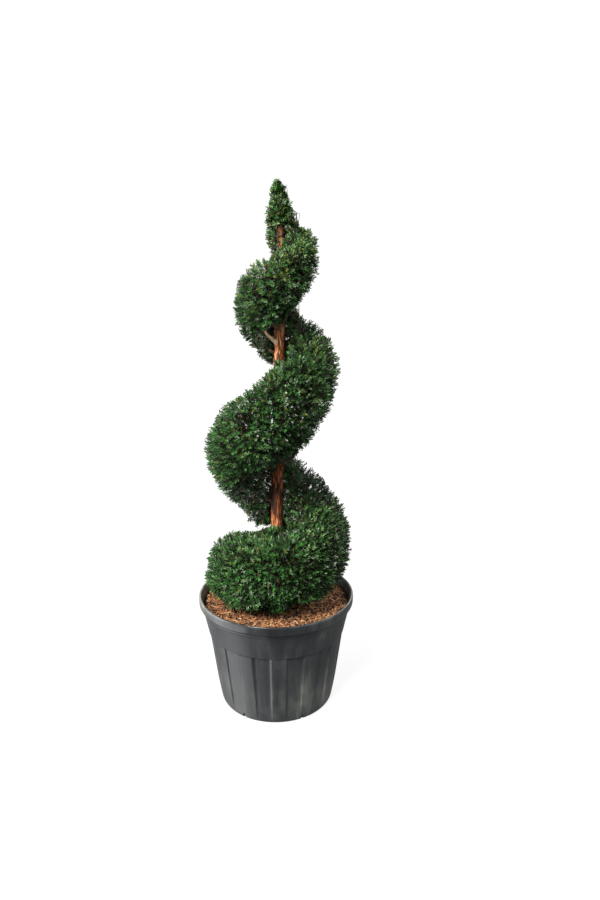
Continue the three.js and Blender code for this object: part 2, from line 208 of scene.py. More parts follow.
# Radii of the white floor and surround
FLOOR_RADIUS = 45
SURROUND_RADIUS = 50


def unit(vectors):
    """Vectors of length 1, row by row."""
    return vectors / np.maximum(np.linalg.norm(vectors, axis=-1, keepdims=True), 1e-9)


def ramp(value, start, full):
    """From 0 at the start to 1 where it is full, and level beyond both."""
    return np.clip((value - start) / (full - start), 0, 1)


def smooth(table, at):
    """A table's other columns at places along its first, on a smooth curve through its rows."""
    rows = np.array(table, float)
    places, values = rows[:, 0], rows[:, 1:]
    at = np.clip(np.atleast_1d(np.asarray(at, float)), places[0], places[-1])
    last = len(places) - 1
    after = np.clip(np.searchsorted(places, at, side="right"), 1, last)
    before = after - 1
    prior = np.where(before == 0, after, before - 1)
    later = np.where(after == last, before, np.minimum(after + 1, last))
    span = places[after] - places[before]
    low = 0.5 * span / (places[before] - places[prior])
    high = 0.5 * span / (places[later] - places[after])
    p = (at - places[before]) / span
    shares = [
        -low * p**3 + 2 * low * p**2 - low * p,
        (1 + low) * p**3 - (1.5 + 2 * low) * p**2 + (low - 0.5) * p + 1,
        -(1 + high) * p**3 + (1.5 + high) * p**2 + 0.5 * p,
        high * p**3 - high * p**2,
    ]
    picked = [values[row] for row in (prior, before, after, later)]
    return sum(share[:, None] * value for share, value in zip(shares, picked))


def lean_at(height):
    return smooth(TRUNK, height)[:, 0]


def trunk_radius(height):
    return smooth(TRUNK, height)[:, 1]


def inner_radius(height):
    """Radius of the pot's inside at a height."""
    radii, heights = zip(*INSIDE_WALL)
    return float(np.interp(height, heights, radii))


def mulch_top(radius):
    """Height of the mulch's surface at a distance from the pot's axis."""
    return MULCH_EDGE_HEIGHT + MULCH_DOME * (1 - (radius / inner_radius(MULCH_EDGE_HEIGHT)) ** 2)


def outward(turn):
    """Level direction from the trunk at a place along the spiral."""
    azimuth = math.pi / 2 * (1 + np.asarray(turn, float))
    return np.stack([np.cos(azimuth), np.sin(azimuth), np.zeros_like(azimuth)], axis=-1)


def band_point(turn, around, inset):
    """Points of the clipped band, inset from its reach.

    Turn counts quarter turns. Around is the angle round the band's section, 0 outwards
    and a quarter of a circle straight up.
    """
    turn, around, inset = np.broadcast_arrays(*map(np.atleast_1d, (turn, around, inset)))
    height, reach, half = smooth(TURNS, turn).T
    inner = trunk_radius(height) + INNER_CLEARANCE * np.clip(reach / 0.150, 0.4, 1)
    roundness = np.where(np.sin(around) > 0, TOP_ROUNDNESS, UNDERSIDE_ROUNDNESS)
    out = np.sign(np.cos(around)) * np.abs(np.cos(around)) ** (2 / roundness)
    rise = np.sign(np.sin(around)) * np.abs(np.sin(around)) ** (2 / roundness)
    closing = np.clip((ROUND_END - turn) / (ROUND_END - SPIRAL_START), 0, 0.97)
    full = np.sqrt(1 - closing**2)
    middle = (reach - inset + inner) / 2
    radius = middle + full * (reach - inset - middle) * out
    lowest = mulch_top(0) + 0.008 + 0.4 * inset
    level = np.clip(height + full * (half - inset) * rise, lowest, TIP_HEIGHT)
    points = outward(turn) * radius[:, None]
    points[:, 0] += lean_at(level)
    points[:, 2] = level
    return points


def band_normal(turn, around, inset):
    """Outward directions of the band's surface."""
    step = 0.03
    along = band_point(turn + step, around, inset) - band_point(turn - step, around, inset)
    across = band_point(turn, around + step, inset) - band_point(turn, around - step, inset)
    return unit(np.cross(along, across))


def hub_point(turn, inset=SPRAY_STAND):
    """The middle of the band's section."""
    return (band_point(turn, 0.0, inset) + band_point(turn, math.pi, inset)) / 2


# Camera: where the photograph was taken from
camera_data = bpy.data.cameras.new("camera")
camera_data.lens = 26
camera_data.sensor_width = 36
camera_data.clip_end = 200
camera = bpy.data.objects.new("camera", camera_data)
camera.location = (0.106, -2.688, 1.777)
camera.rotation_euler = (math.radians(76.75), 0, 0)
bpy.context.scene.collection.objects.link(camera)
bpy.context.scene.camera = camera


# Materials
def linear(code):
    """An sRGB hex colour as the linear numbers that the shaders take."""
    parts = [int(code[i : i + 2], 16) / 255 for i in (1, 3, 5)]
    return tuple(c / 12.92 if c <= 0.04045 else ((c + 0.055) / 1.055) ** 2.4 for c in parts) + (1,)


def add(tree, kind, values=(), links=(), stops=(), **settings):
    """Adds a node: its settings, the values and links of its inputs, and its colour stops."""
    node = tree.nodes.new(kind)
    for name, value in settings.items():
        setattr(node, name, value)
    for name, value in dict(values).items():
        node.inputs[name].default_value = value
    for name, socket in dict(links).items():
        tree.links.new(socket, node.inputs[name])
    for i, (place, code) in enumerate(stops):
        elements = node.color_ramp.elements
        stop = elements[i] if i < 2 else elements.new(place)
        stop.position = place
        stop.color = linear(code)
    return node


def finish(name, **sockets):
    """A new material with its shader: the material, its nodes, the shader and the object's
    coordinates."""
    made = bpy.data.materials.new(name)
    made.use_nodes = True
    tree = made.node_tree
    tree.nodes.clear()
    values = {key.replace("_", " "): value for key, value in sockets.items()}
    shader = add(tree, "ShaderNodeBsdfPrincipled", values=values)
    add(tree, "ShaderNodeOutputMaterial", links={"Surface": shader.outputs["BSDF"]})
    place = add(tree, "ShaderNodeTexCoord").outputs["Object"]
    return made, tree, shader, place


def moulded_plastic(name, polish, left_dust_and_light, right_dust_and_light, crest_dust_and_highlight):
    """Recycled polypropylene, injection moulded: a satin charcoal with dust in long vertical
    streaks, and fine grain that breaks up the gloss. There is more dust low on the wall. On its
    left and right sides the paler tone is partly dust and partly painted light, and on the lip's
    crest it is partly dust and partly a painted highlight. Polish takes some of the roughness off
    where hands have rubbed it."""
    made, tree, shader, place = finish(name, IOR=1.49, Specular_IOR_Level=0.35)
    streaks = add(
        tree,
        "ShaderNodeMapping",
        links={"Vector": place},
        values={"Scale": (1, 1, 0.10)},
    )
    # broad streaks about 40 mm apart, with ever finer ones between
    dust = add(
        tree,
        "ShaderNodeTexNoise",
        links={"Vector": streaks.outputs["Vector"]},
        values={"Scale": 26, "Detail": 6, "Roughness": 0.6},
    )
    clouds = add(
        tree,
        "ShaderNodeTexNoise",
        links={"Vector": place},
        values={"Scale": 5, "Detail": 5, "Roughness": 0.55},
    )
    amount = add(
        tree,
        "ShaderNodeMath",
        operation="MULTIPLY",
        links={0: dust.outputs["Fac"], 1: clouds.outputs["Fac"]},
    )
    axes = add(tree, "ShaderNodeSeparateXYZ", links={"Vector": place})
    # dust low on the wall; on the sides and crest partly painted light and a painted highlight
    for axis, (start, full), least, most in (
        ("Z", DUSTY_FOOT, 0.02, 0.15),
        ("X", DUST_AND_LIGHT_LEFT, 0.0, left_dust_and_light),
        ("X", DUST_AND_LIGHT_RIGHT, 0.0, right_dust_and_light),
        ("Z", DUST_AND_HIGHLIGHT_CREST, 0.0, crest_dust_and_highlight),
    ):
        dust_and_light = add(
            tree,
            "ShaderNodeMapRange",
            links={"Value": axes.outputs[axis]},
            values={"From Min": start, "From Max": full, "To Min": least, "To Max": most},
        )
        amount = add(
            tree,
            "ShaderNodeMath",
            operation="ADD",
            links={0: amount.outputs["Value"], 1: dust_and_light.outputs["Result"]},
        )
    colour = add(
        tree,
        "ShaderNodeValToRGB",
        links={"Fac": amount.outputs["Value"]},
        stops=[
            (0.16, "#141618"),
            (0.32, "#212426"),
            (0.46, "#333636"),
            (0.62, "#51534f"),
            (0.80, "#7b7870"),
        ],
    )
    gloss = add(
        tree,
        "ShaderNodeMapRange",
        links={"Value": amount.outputs["Value"]},
        values={"From Min": 0.15, "From Max": 0.6, "To Min": 0.34 - polish, "To Max": 0.66 - polish},
    )
    # grain of the mould, drawn 1.5 mm coarse so that it shows
    grain = add(
        tree,
        "ShaderNodeTexNoise",
        links={"Vector": place},
        values={"Scale": 650, "Detail": 2},
    )
    bump = add(
        tree,
        "ShaderNodeBump",
        links={"Height": grain.outputs["Fac"]},
        values={"Strength": 0.12, "Distance": 0.0006},
    )
    tree.links.new(colour.outputs["Color"], shader.inputs["Base Color"])
    tree.links.new(gloss.outputs["Result"], shader.inputs["Roughness"])
    tree.links.new(bump.outputs["Normal"], shader.inputs["Normal"])
    return made


def peat():
    """Peat and bark fines, loose: almost black brown with crumbs about 4 mm across."""
    made, tree, shader, place = finish("potting_peat", Roughness=1.0)
    crumbs = add(
        tree,
        "ShaderNodeTexNoise",
        links={"Vector": place},
        values={"Scale": 240, "Detail": 6, "Roughness": 0.7},
    )
    colour = add(
        tree,
        "ShaderNodeValToRGB",
        links={"Fac": crumbs.outputs["Fac"]},
        stops=[(0.35, "#1e120b"), (0.6, "#4a2c1a"), (0.72, "#7c4d2b")],
    )
    bump = add(
        tree,
        "ShaderNodeBump",
        links={"Height": crumbs.outputs["Fac"]},
        values={"Strength": 0.9, "Distance": 0.004},
    )
    tree.links.new(colour.outputs["Color"], shader.inputs["Base Color"])
    tree.links.new(bump.outputs["Normal"], shader.inputs["Normal"])
    return made


def shredded_bark(name, dark, light):
    """Softwood bark torn into shreds: dry and matt, with fibres that run along each shred."""
    made, tree, shader, _ = finish(name, Roughness=0.9)
    along = add(tree, "ShaderNodeUVMap")
    # the map's length runs along the fibres, which are about 1 mm apart
    fibres = add(
        tree,
        "ShaderNodeMapping",
        links={"Vector": along.outputs["UV"]},
        values={"Scale": (90, 900, 1)},
    )
    grain = add(
        tree,
        "ShaderNodeTexNoise",
        links={"Vector": fibres.outputs["Vector"]},
        values={"Scale": 1.0, "Detail": 3},
    )
    colour = add(
        tree,
        "ShaderNodeValToRGB",
        links={"Fac": grain.outputs["Fac"]},
        stops=[(0.3, dark), (0.68, light)],
    )
    bump = add(
        tree,
        "ShaderNodeBump",
        links={"Height": grain.outputs["Fac"]},
        values={"Strength": 0.5, "Distance": 0.0008},
    )
    tree.links.new(colour.outputs["Color"], shader.inputs["Base Color"])
    tree.links.new(bump.outputs["Normal"], shader.inputs["Normal"])
    return made


def yew_bark(name, colours):
    """Yew bark, peeling in narrow upright flakes: tan or grey outside, with orange and red brown
    where flakes have come off, and almost black cracks. It has painted shade low on the trunk
    and painted light higher up, and painted light again on its lowest stretch, below 0.91 m.
    Colours run from the cracks to the flakes' faces."""
    made, tree, shader, place = finish(name, Roughness=0.85, Specular_IOR_Level=0.2)
    upright = add(
        tree,
        "ShaderNodeMapping",
        links={"Vector": place},
        values={"Scale": (1, 1, 0.13)},
    )
    # flakes about 4 mm wide and 30 mm high
    flakes = add(
        tree,
        "ShaderNodeTexVoronoi",
        links={"Vector": upright.outputs["Vector"]},
        values={"Scale": 250, "Randomness": 1.0},
    )
    weather = add(
        tree,
        "ShaderNodeTexNoise",
        links={"Vector": upright.outputs["Vector"]},
        values={"Scale": 70, "Detail": 6, "Roughness": 0.7, "Distortion": 0.4},
    )
    ages = add(tree, "ShaderNodeSeparateXYZ", links={"Vector": flakes.outputs["Color"]})
    blend = add(
        tree,
        "ShaderNodeMix",
        values={"Factor": 0.62},
        links={2: ages.outputs["X"], 3: weather.outputs["Fac"]},
    )
    axes = add(tree, "ShaderNodeSeparateXYZ", links={"Vector": place})
    tone = blend.outputs[0]
    # painted shade low on the trunk, painted light higher up and again on its lowest stretch
    for (start, full), least, most in ((BARK_PAINTED_SHADE_AND_LIGHT, -0.12, 0.15), (BARK_PAINTED_LIGHT_LOW, 0.0, 0.14)):
        paler = add(
            tree,
            "ShaderNodeMapRange",
            links={"Value": axes.outputs["Z"]},
            values={"From Min": start, "From Max": full, "To Min": least, "To Max": most},
        )
        toned = add(
            tree,
            "ShaderNodeMath",
            operation="ADD",
            links={0: tone, 1: paler.outputs["Result"]},
        )
        tone = toned.outputs["Value"]
    colour = add(
        tree,
        "ShaderNodeValToRGB",
        links={"Fac": tone},
        stops=list(zip((0.28, 0.40, 0.52, 0.64, 0.78), colours)),
    )
    bump = add(
        tree,
        "ShaderNodeBump",
        links={"Height": blend.outputs[0]},
        values={"Strength": 0.8, "Distance": 0.003},
    )
    tree.links.new(colour.outputs["Color"], shader.inputs["Base Color"])
    tree.links.new(bump.outputs["Normal"], shader.inputs["Normal"])
    return made


def needle(name, dark, light):
    """Yew needles: leathery, with a waxy upper side whose soft gloss picks out single needles.
    Their green wanders a little, over about 25 mm, as it does from shoot to shoot, and it is
    painted paler near the top of the plant, as painted light for the sun that falls most there."""
    made, tree, shader, place = finish(name, Roughness=0.40, IOR=1.45, Specular_IOR_Level=0.2)
    wander = add(
        tree,
        "ShaderNodeTexNoise",
        links={"Vector": place},
        values={"Scale": 40, "Detail": 3},
    )
    axes = add(tree, "ShaderNodeSeparateXYZ", links={"Vector": place})
    # painted light: paler needles near the top of the plant
    sun = add(
        tree,
        "ShaderNodeMapRange",
        links={"Value": axes.outputs["Z"]},
        values={
            "From Min": PAINTED_SUN_NEEDLES[0],
            "From Max": PAINTED_SUN_NEEDLES[1],
            "To Min": -0.02,
            "To Max": 0.24,
        },
    )
    tone = add(
        tree,
        "ShaderNodeMath",
        operation="ADD",
        links={0: wander.outputs["Fac"], 1: sun.outputs["Result"]},
    )
    colour = add(
        tree,
        "ShaderNodeValToRGB",
        links={"Fac": tone.outputs["Value"]},
        stops=[(0.32, dark), (0.68, light)],
    )
    tree.links.new(colour.outputs["Color"], shader.inputs["Base Color"])
    return made


def twig_bark(name, dark, light):
    """Young yew twigs: smooth thin bark that turns from green to brown in its second year."""
    made, tree, shader, place = finish(name, Roughness=0.7)
    patches = add(
        tree,
        "ShaderNodeTexNoise",
        links={"Vector": place},
        values={"Scale": 120, "Detail": 3},
    )
    colour = add(
        tree,
        "ShaderNodeValToRGB",
        links={"Fac": patches.outputs["Fac"]},
        stops=[(0.35, dark), (0.65, light)],
    )
    tree.links.new(colour.outputs["Color"], shader.inputs["Base Color"])
    return made


plastic = moulded_plastic(
    "moulded_polypropylene",
    polish=0.0,
    left_dust_and_light=0.07,
    right_dust_and_light=0.22,
    crest_dust_and_highlight=0.0,
)
rubbed_plastic = moulded_plastic(
    "moulded_polypropylene_rubbed",
    polish=0.20,
    left_dust_and_light=0.32,
    right_dust_and_light=0.20,
    crest_dust_and_highlight=0.10,
)
soil = peat()
bark = yew_bark("yew_bark", ("#120906", "#321a0e", "#59301b", "#92552b", "#bd8a63"))
bough_bark = yew_bark("yew_bough_bark", ("#160d09", "#33211a", "#523829", "#6f4f3a", "#8d6e57"))
# The bare limb's bark is tan, made paler still as painted light on it
limb_bark_painted_light = yew_bark("yew_limb_bark_bare", ("#6b4f39", "#8f6f52", "#ae8c6a", "#c6a584", "#dabc9c"))
shreds_of = [
    shredded_bark("bark_shreds_orange", "#7a4e2c", "#a97c50"),
    shredded_bark("bark_shreds_rust", "#5f371f", "#885936"),
    shredded_bark("bark_shreds_brown", "#45291a", "#6f4c32"),
    shredded_bark("bark_shreds_dark", "#24140c", "#432a1b"),
    shredded_bark("bark_shreds_straw", "#8a7150", "#b39d7a"),
]
# Deep green is near black, painted shade; light green is painted light; sage green is a painted sheen
NEEDLES = {
    "deep": needle("yew_needles_deep_painted_shade", "#081006", "#14240d"),
    "mid": needle("yew_needles_mid", "#223f1b", "#366030"),
    "light": needle("yew_needles_painted_light", "#46693a", "#6b8c58"),
    "fresh": needle("yew_needles_fresh", "#2c6423", "#478238"),
    "olive": needle("yew_needles_olive", "#465426", "#697536"),
    "painted_sheen": needle("yew_needles_painted_sheen", "#55694f", "#80937a"),
    "brown": needle("yew_needles_old", "#37341d", "#504a2b"),
}
TWIGS = [
    twig_bark("twig_bark_old", "#2a1c15", "#53402e"),
    twig_bark("twig_bark_young", "#34361d", "#5a5e36"),
]
OLD_TWIG, YOUNG_TWIG = range(len(TWIGS))


def piece(name, mesh, materials, replaces=()):
    """Puts a finished mesh in the scene as a piece that rides on the plant's one body."""
    made = bpy.data.objects.new(name, mesh)
    bpy.context.scene.collection.objects.link(made)
    for i, material in enumerate(materials):
        if i < len(mesh.materials):
            mesh.materials[i] = material
        else:
            mesh.materials.append(material)
    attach(made, "root")
    if replaces:
        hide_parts(*replaces)
    return made


def array_mesh(name, points, faces, kinds, uvs=None):
    """A joined mesh of many small things. Faces is a list of arrays of corner rows, each
    with its own number of corners; kinds holds a material's number for every face."""
    mesh = bpy.data.meshes.new(name)
    mesh.vertices.add(len(points))
    mesh.vertices.foreach_set("co", np.asarray(points, np.float32).ravel())
    corners = np.concatenate([group.ravel() for group in faces]).astype(np.int32)
    sizes = np.concatenate([np.full(len(group), group.shape[1]) for group in faces])
    mesh.loops.add(len(corners))
    mesh.loops.foreach_set("vertex_index", corners)
    mesh.polygons.add(len(sizes))
    starts = np.concatenate([[0], np.cumsum(sizes)[:-1]])
    mesh.polygons.foreach_set("loop_start", starts.astype(np.int32))
    mesh.polygons.foreach_set("material_index", np.asarray(kinds, np.int32))
    if uvs is not None:
        layer = mesh.uv_layers.new(name="UVMap")
        layer.data.foreach_set("uv", np.asarray(uvs, np.float32)[corners].ravel())
    mesh.update(calc_edges=True)
    mesh.validate()
    return mesh


# Pot
def rounded(corners, steps=5):
    """A profile of points from corners (radius, height, rounding), with each corner rounded."""
    points = []
    for i, (x, z, rounding) in enumerate(corners):
        here = Vector((x, z))
        if rounding == 0 or i in (0, len(corners) - 1):
            points.append(here)
            continue
        before = Vector(corners[i - 1][:2]) - here
        after = Vector(corners[i + 1][:2]) - here
        start = here + before.normalized() * min(rounding, 0.45 * before.length)
        end = here + after.normalized() * min(rounding, 0.45 * after.length)
        for step in range(steps + 1):
            t = step / steps
            points.append(start * (1 - t) ** 2 + here * 2 * t * (1 - t) + end * t**2)
    return points


def spun(points, steps):
    """A profile of (radius, height) points turned round the upright axis, as a bmesh."""
    shape = bmesh.new()
    line = [shape.verts.new((p[0], 0, p[1])) for p in points]
    edges = [shape.edges.new(pair) for pair in zip(line, line[1:])]
    bmesh.ops.spin(
        shape,
        geom=line + edges,
        cent=(0, 0, 0),
        axis=(0, 0, 1),
        angle=2 * math.pi,
        steps=steps,
        use_merge=True,
    )
    bmesh.ops.remove_doubles(shape, verts=shape.verts, dist=1e-6)
    bmesh.ops.recalc_face_normals(shape, faces=shape.faces)
    return shape


def finished(shape, name, flat_above=None):
    """The mesh of a bmesh, smooth except across edges sharper than an angle in degrees."""
    mesh = bpy.data.meshes.new(name)
    shape.to_mesh(mesh)
    shape.free()
    mesh.shade_smooth()
    if flat_above is not None:
        mesh.set_sharp_from_angle(angle=math.radians(flat_above))
    return mesh


def pot():
    lip_foot = POT_HEIGHT - LIP_DROP
    lip_inner = LIP_RADIUS - LIP_WIDTH
    corners = [
        (0, 0, 0),
        (BASE_RADIUS, 0, 0.002),
        (BASE_RADIUS + 0.0100, 0.35 * FOOT_HEIGHT, 0.009),
        (FOOT_RADIUS, FOOT_HEIGHT, 0.012),
        (0.7 * FOOT_RADIUS + 0.3 * PANEL_TOP_RADIUS, 0.100, 0.030),
        (PANEL_TOP_RADIUS - 0.002, COLLAR_FOOT - 0.004, 0.002),
        (PANEL_TOP_RADIUS + 0.002, COLLAR_FOOT, 0.003),
        (COLLAR_RADIUS - 0.003, LIP_STEP_HEIGHT - 0.003, 0.002),
        (COLLAR_RADIUS + 0.001, LIP_STEP_HEIGHT, 0.002),
        (COLLAR_RADIUS + 0.002, lip_foot - 0.002, 0.002),
        (LIP_RADIUS - 0.004, lip_foot, 0.003),
        (LIP_RADIUS - 0.001, lip_foot + 0.006, 0.004),
        (LIP_RADIUS, POT_HEIGHT, 0.014),
        (lip_inner, POT_HEIGHT, 0.006),
        *[(radius, height, 0.003) for radius, height in reversed(INSIDE_WALL)],
        (0, FLOOR_THICKNESS, 0),
    ]
    shares = np.concatenate(
        [
            np.linspace(0, RECESS_START, 12),
            [0.452, 0.463, 0.474],
            np.linspace(RECESS_START + RECESS_STEP, RECESS_END, 12),
            [0.966, 0.978, 0.989],
        ]
    )
    steps = len(shares) * PANEL_PAIRS
    shape = spun(rounded(corners), steps)
    for vertex in shape.verts:
        x, y, z = vertex.co
        radius = math.hypot(x, y)
        if radius < 1e-4:
            continue
        step = round(math.atan2(y, x) / (2 * math.pi) * steps) % steps
        share = shares[step % len(shares)]
        degrees = RAISED_PANEL_START + (step // len(shares) + share) * 360 / PANEL_PAIRS
        recessed = ramp(share, RECESS_START, RECESS_START + RECESS_STEP)
        recessed -= ramp(share, RECESS_END, RECESS_END + RECESS_STEP)
        tall = ramp(z, FOOT_HEIGHT, FOOT_HEIGHT + PANEL_FADE) ** 0.6
        tall *= ramp(z, COLLAR_FOOT, COLLAR_FOOT - 0.004)
        outside = radius > inner_radius(max(z, FLOOR_THICKNESS)) + 0.001 and z > 0.002
        if outside and z < COLLAR_FOOT:
            radius -= PANEL_RELIEF * recessed * tall
        angle = math.radians(degrees)
        vertex.co = (radius * math.sin(angle), -radius * math.cos(angle), z)
    bmesh.ops.recalc_face_normals(shape, faces=shape.faces)
    for face in shape.faces:
        face.material_index = int(face.calc_center_median().z > lip_foot)
    return finished(shape, "pot_shell", flat_above=40)


def notch_cutters():
    """Rods across the pot's foot, squeezed to slim arches, whose upper halves leave the notches."""
    shape = bmesh.new()
    lying = Matrix.Rotation(math.radians(90), 4, "X")
    slim = Matrix.Diagonal((NOTCH_WIDTH / 2, 1, NOTCH_HEIGHT, 1))
    for i in range(DRAIN_NOTCHES):
        angle = math.radians(FIRST_DRAIN_NOTCH + i * 360 / DRAIN_NOTCHES)
        place = Matrix.Rotation(angle, 4, "Z") @ Matrix.Translation((0, 0.004 - FOOT_RADIUS, 0))
        bmesh.ops.create_cone(
            shape,
            cap_ends=True,
            segments=40,
            radius1=1,
            radius2=1,
            depth=NOTCH_ROD,
            matrix=place @ slim @ lying,
        )
    return finished(shape, "notch_cutters", flat_above=40)


def cut(mesh, cutters):
    """A mesh less the cutters' volume, through a Boolean whose result is kept."""
    body = bpy.data.objects.new("uncut", mesh)
    tool = bpy.data.objects.new("cutters", cutters)
    for made in (body, tool):
        bpy.context.scene.collection.objects.link(made)
    boolean = body.modifiers.new("notches", "BOOLEAN")
    boolean.operation = "DIFFERENCE"
    boolean.solver = "EXACT"
    boolean.object = tool
    evaluated = body.evaluated_get(bpy.context.evaluated_depsgraph_get())
    result = bpy.data.meshes.new_from_object(evaluated)
    for made in (body, tool):
        bpy.data.objects.remove(made)
    return result


piece("pot_shell", cut(pot(), notch_cutters()), [plastic, rubbed_plastic], ["pot"])

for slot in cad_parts["growing_medium"].material_slots:
    slot.material = soil


# Mulch
def mulch_bed():
    """The layer under the loose shreds: a domed ring round the trunk's foot."""
    foot = MEDIUM_TOP + SEAT_GAP
    edge = inner_radius(MEDIUM_TOP) - 2 * SEAT_GAP
    rings = [edge - (edge - MULCH_HOLE) * i / 44 for i in range(45)]
    surface = [(radius, mulch_top(radius) - 0.004) for radius in rings]
    shape = spun([(MULCH_HOLE, foot), (edge, foot)] + surface + [(MULCH_HOLE, foot)], 160)
    for vertex in shape.verts:
        if vertex.co.z > foot + 0.004:
            vertex.co.z += 0.005 * noise.fractal(vertex.co * 60, 1.0, 2.0, 4)
    return finished(shape, "mulch_bed")


def mulch_shreds():
    """Loose shreds of bark, lying every way on the bed."""
    rng = np.random.default_rng(11)
    radius = np.sqrt(rng.uniform(SHRED_RADII[0] ** 2, SHRED_RADII[1] ** 2, SHREDS))
    angle = rng.uniform(0, 2 * math.pi, SHREDS)
    length = rng.gamma(5.0, 0.0036, SHREDS).clip(*SHRED_LENGTHS)
    width = rng.uniform(*SHRED_WIDTHS, SHREDS) * (0.7 + length / 0.08)
    thickness = rng.uniform(0.0018, 0.0042, SHREDS)
    layer = rng.uniform(-0.004, 0.007, SHREDS)
    height = mulch_top(radius) + layer
    centre = np.stack([radius * np.cos(angle), radius * np.sin(angle), height], axis=1)
    yaw = rng.uniform(0, 2 * math.pi, SHREDS)
    pitch = rng.normal(0, 0.22, SHREDS)
    roll = rng.normal(0, 0.5, SHREDS)
    along = np.stack([np.cos(yaw) * np.cos(pitch), np.sin(yaw) * np.cos(pitch), np.sin(pitch)], axis=1)
    level = unit(np.cross([0.0, 0.0, 1.0], along))
    over = np.cross(along, level)
    side = level * np.cos(roll)[:, None] + over * np.sin(roll)[:, None]
    top = np.cross(along, side)
    ends = [centre + along * (length * share)[:, None] for share in (-0.5, 0.5)]
    reaches = np.array([np.hypot(end[:, 0], end[:, 1]) for end in ends])
    fits = (reaches < inner_radius(MULCH_EDGE_HEIGHT) - 0.004).all(axis=0)
    fits &= (reaches > MULCH_HOLE + 0.004).all(axis=0)
    bend = rng.normal(0, 0.06, SHREDS) * length
    twist = rng.normal(0, 0.10, SHREDS) * length
    stations = [(-0.5, 0.35), (-0.18, 1.0), (0.2, 0.85), (0.5, 0.25)]
    points, uvs = [], []
    for share, full in stations:
        middle = centre + along * (length * share)[:, None]
        middle = middle - top * (bend * 4 * share**2)[:, None] + side * (twist * share)[:, None]
        for across, lift in ((-0.5, -0.5), (0.5, -0.5), (0.5, 0.5), (-0.5, 0.5)):
            corner = middle + side * (width * across * full)[:, None]
            points.append(corner + top * (thickness * lift * (0.5 + 0.5 * full))[:, None])
            # thrice its place gives each shred its own patch of the grain
            u = centre[:, 0] * 3 + length * share
            v = centre[:, 1] * 3 + width * across
            uvs.append(np.stack([u, v], axis=1))
    points = np.stack(points, axis=1)[fits]
    uvs = np.stack(uvs, axis=1)[fits]
    quads = []
    for station in range(len(stations) - 1):
        for i in range(4):
            a, b = station * 4 + i, station * 4 + (i + 1) % 4
            quads.append((a, b, b + 4, a + 4))
    last = 4 * (len(stations) - 1)
    quads.append((3, 2, 1, 0))
    quads.append((last, last + 1, last + 2, last + 3))
    count = len(points)
    faces = (np.arange(count)[:, None, None] * points.shape[1] + np.array(quads)[None]).reshape(-1, 4)
    kinds = rng.choice(len(shreds_of), count, p=SHRED_SHARES).repeat(len(quads))
    return array_mesh("mulch_shreds", points.reshape(-1, 3), [faces], kinds, uvs.reshape(-1, 2))


piece("mulch_bed", mulch_bed(), [soil], ["bark_mulch"])
piece("mulch_shreds", mulch_shreds(), shreds_of)


# Trunk and boughs
def bark_relief(angle, height, radius):
    """How far yew bark stands out or in: shallow flutes, upright flakes and fine cracks."""
    here = Vector((math.cos(angle) * radius, math.sin(angle) * radius, height))
    drift = noise.noise(Vector((0, 0, height * 4)))
    flutes = 0.05 * radius * math.sin(3 * angle + 3 * drift)
    flakes = noise.noise(Vector((here.x * 95, here.y * 95, height * 22)))
    cracks = abs(noise.noise(Vector((here.x * 230 + 7, here.y * 230, height * 40))))
    size = min(radius / 0.025, 1)
    return flutes + size * (FLAKE_RELIEF * flakes - CRACK_DEPTH * cracks + 0.0006)


def rod(segments, rings):
    """A closed upright rod one unit high with rings of edges, as a bmesh."""
    shape = bmesh.new()
    bmesh.ops.create_cone(shape, cap_ends=True, segments=segments, radius1=1, radius2=1, depth=1)
    rungs = [e for e in shape.edges if abs(e.verts[0].co.z - e.verts[1].co.z) > 0.5]
    bmesh.ops.subdivide_edges(shape, edges=rungs, cuts=rings)
    return shape


def trunk():
    foot, top = TRUNK[0][0], TRUNK[-1][0]
    shape = rod(72, 360)
    for vertex in shape.verts:
        along = vertex.co.z + 0.5
        angle = math.atan2(vertex.co.y, vertex.co.x)
        # the rings lie closer together low on the stem
        height = foot + (top - foot) * along**1.15
        lean, radius = smooth(TRUNK, height)[0]
        flare = max(0, 1 - (height - foot) / 0.06)
        radius *= 1 + 0.07 * flare * math.sin(5 * angle + 1)
        radius += bark_relief(angle, height, radius)
        vertex.co = (lean + radius * math.cos(angle), radius * math.sin(angle), height)
    bmesh.ops.recalc_face_normals(shape, faces=shape.faces)
    return finished(shape, "trunk_bark")


def route(start, end):
    """Where the bough of a mass leaves the trunk's middle, its tip, where its stem enters the
    mass, and its direction."""
    turn = (start + end) / 2
    stand = SPRAY_STAND * np.clip(smooth(TURNS, turn)[0, 1] / 0.200, 0.5, 1)
    entry = band_point(turn, BOUGH_ENTRY, stand)[0]
    run = math.hypot(entry[0] - lean_at(entry[2])[0], entry[1]) - trunk_radius(entry[2])[0]
    root_height = max(entry[2] - BOUGH_SLOPE * run, mulch_top(0) + 0.022)
    root = np.array([lean_at(root_height)[0], 0, root_height])
    direction = unit(entry - root)
    tip = entry - direction * min(STEM_LENGTH, 0.4 * run)
    return root, tip, entry, direction


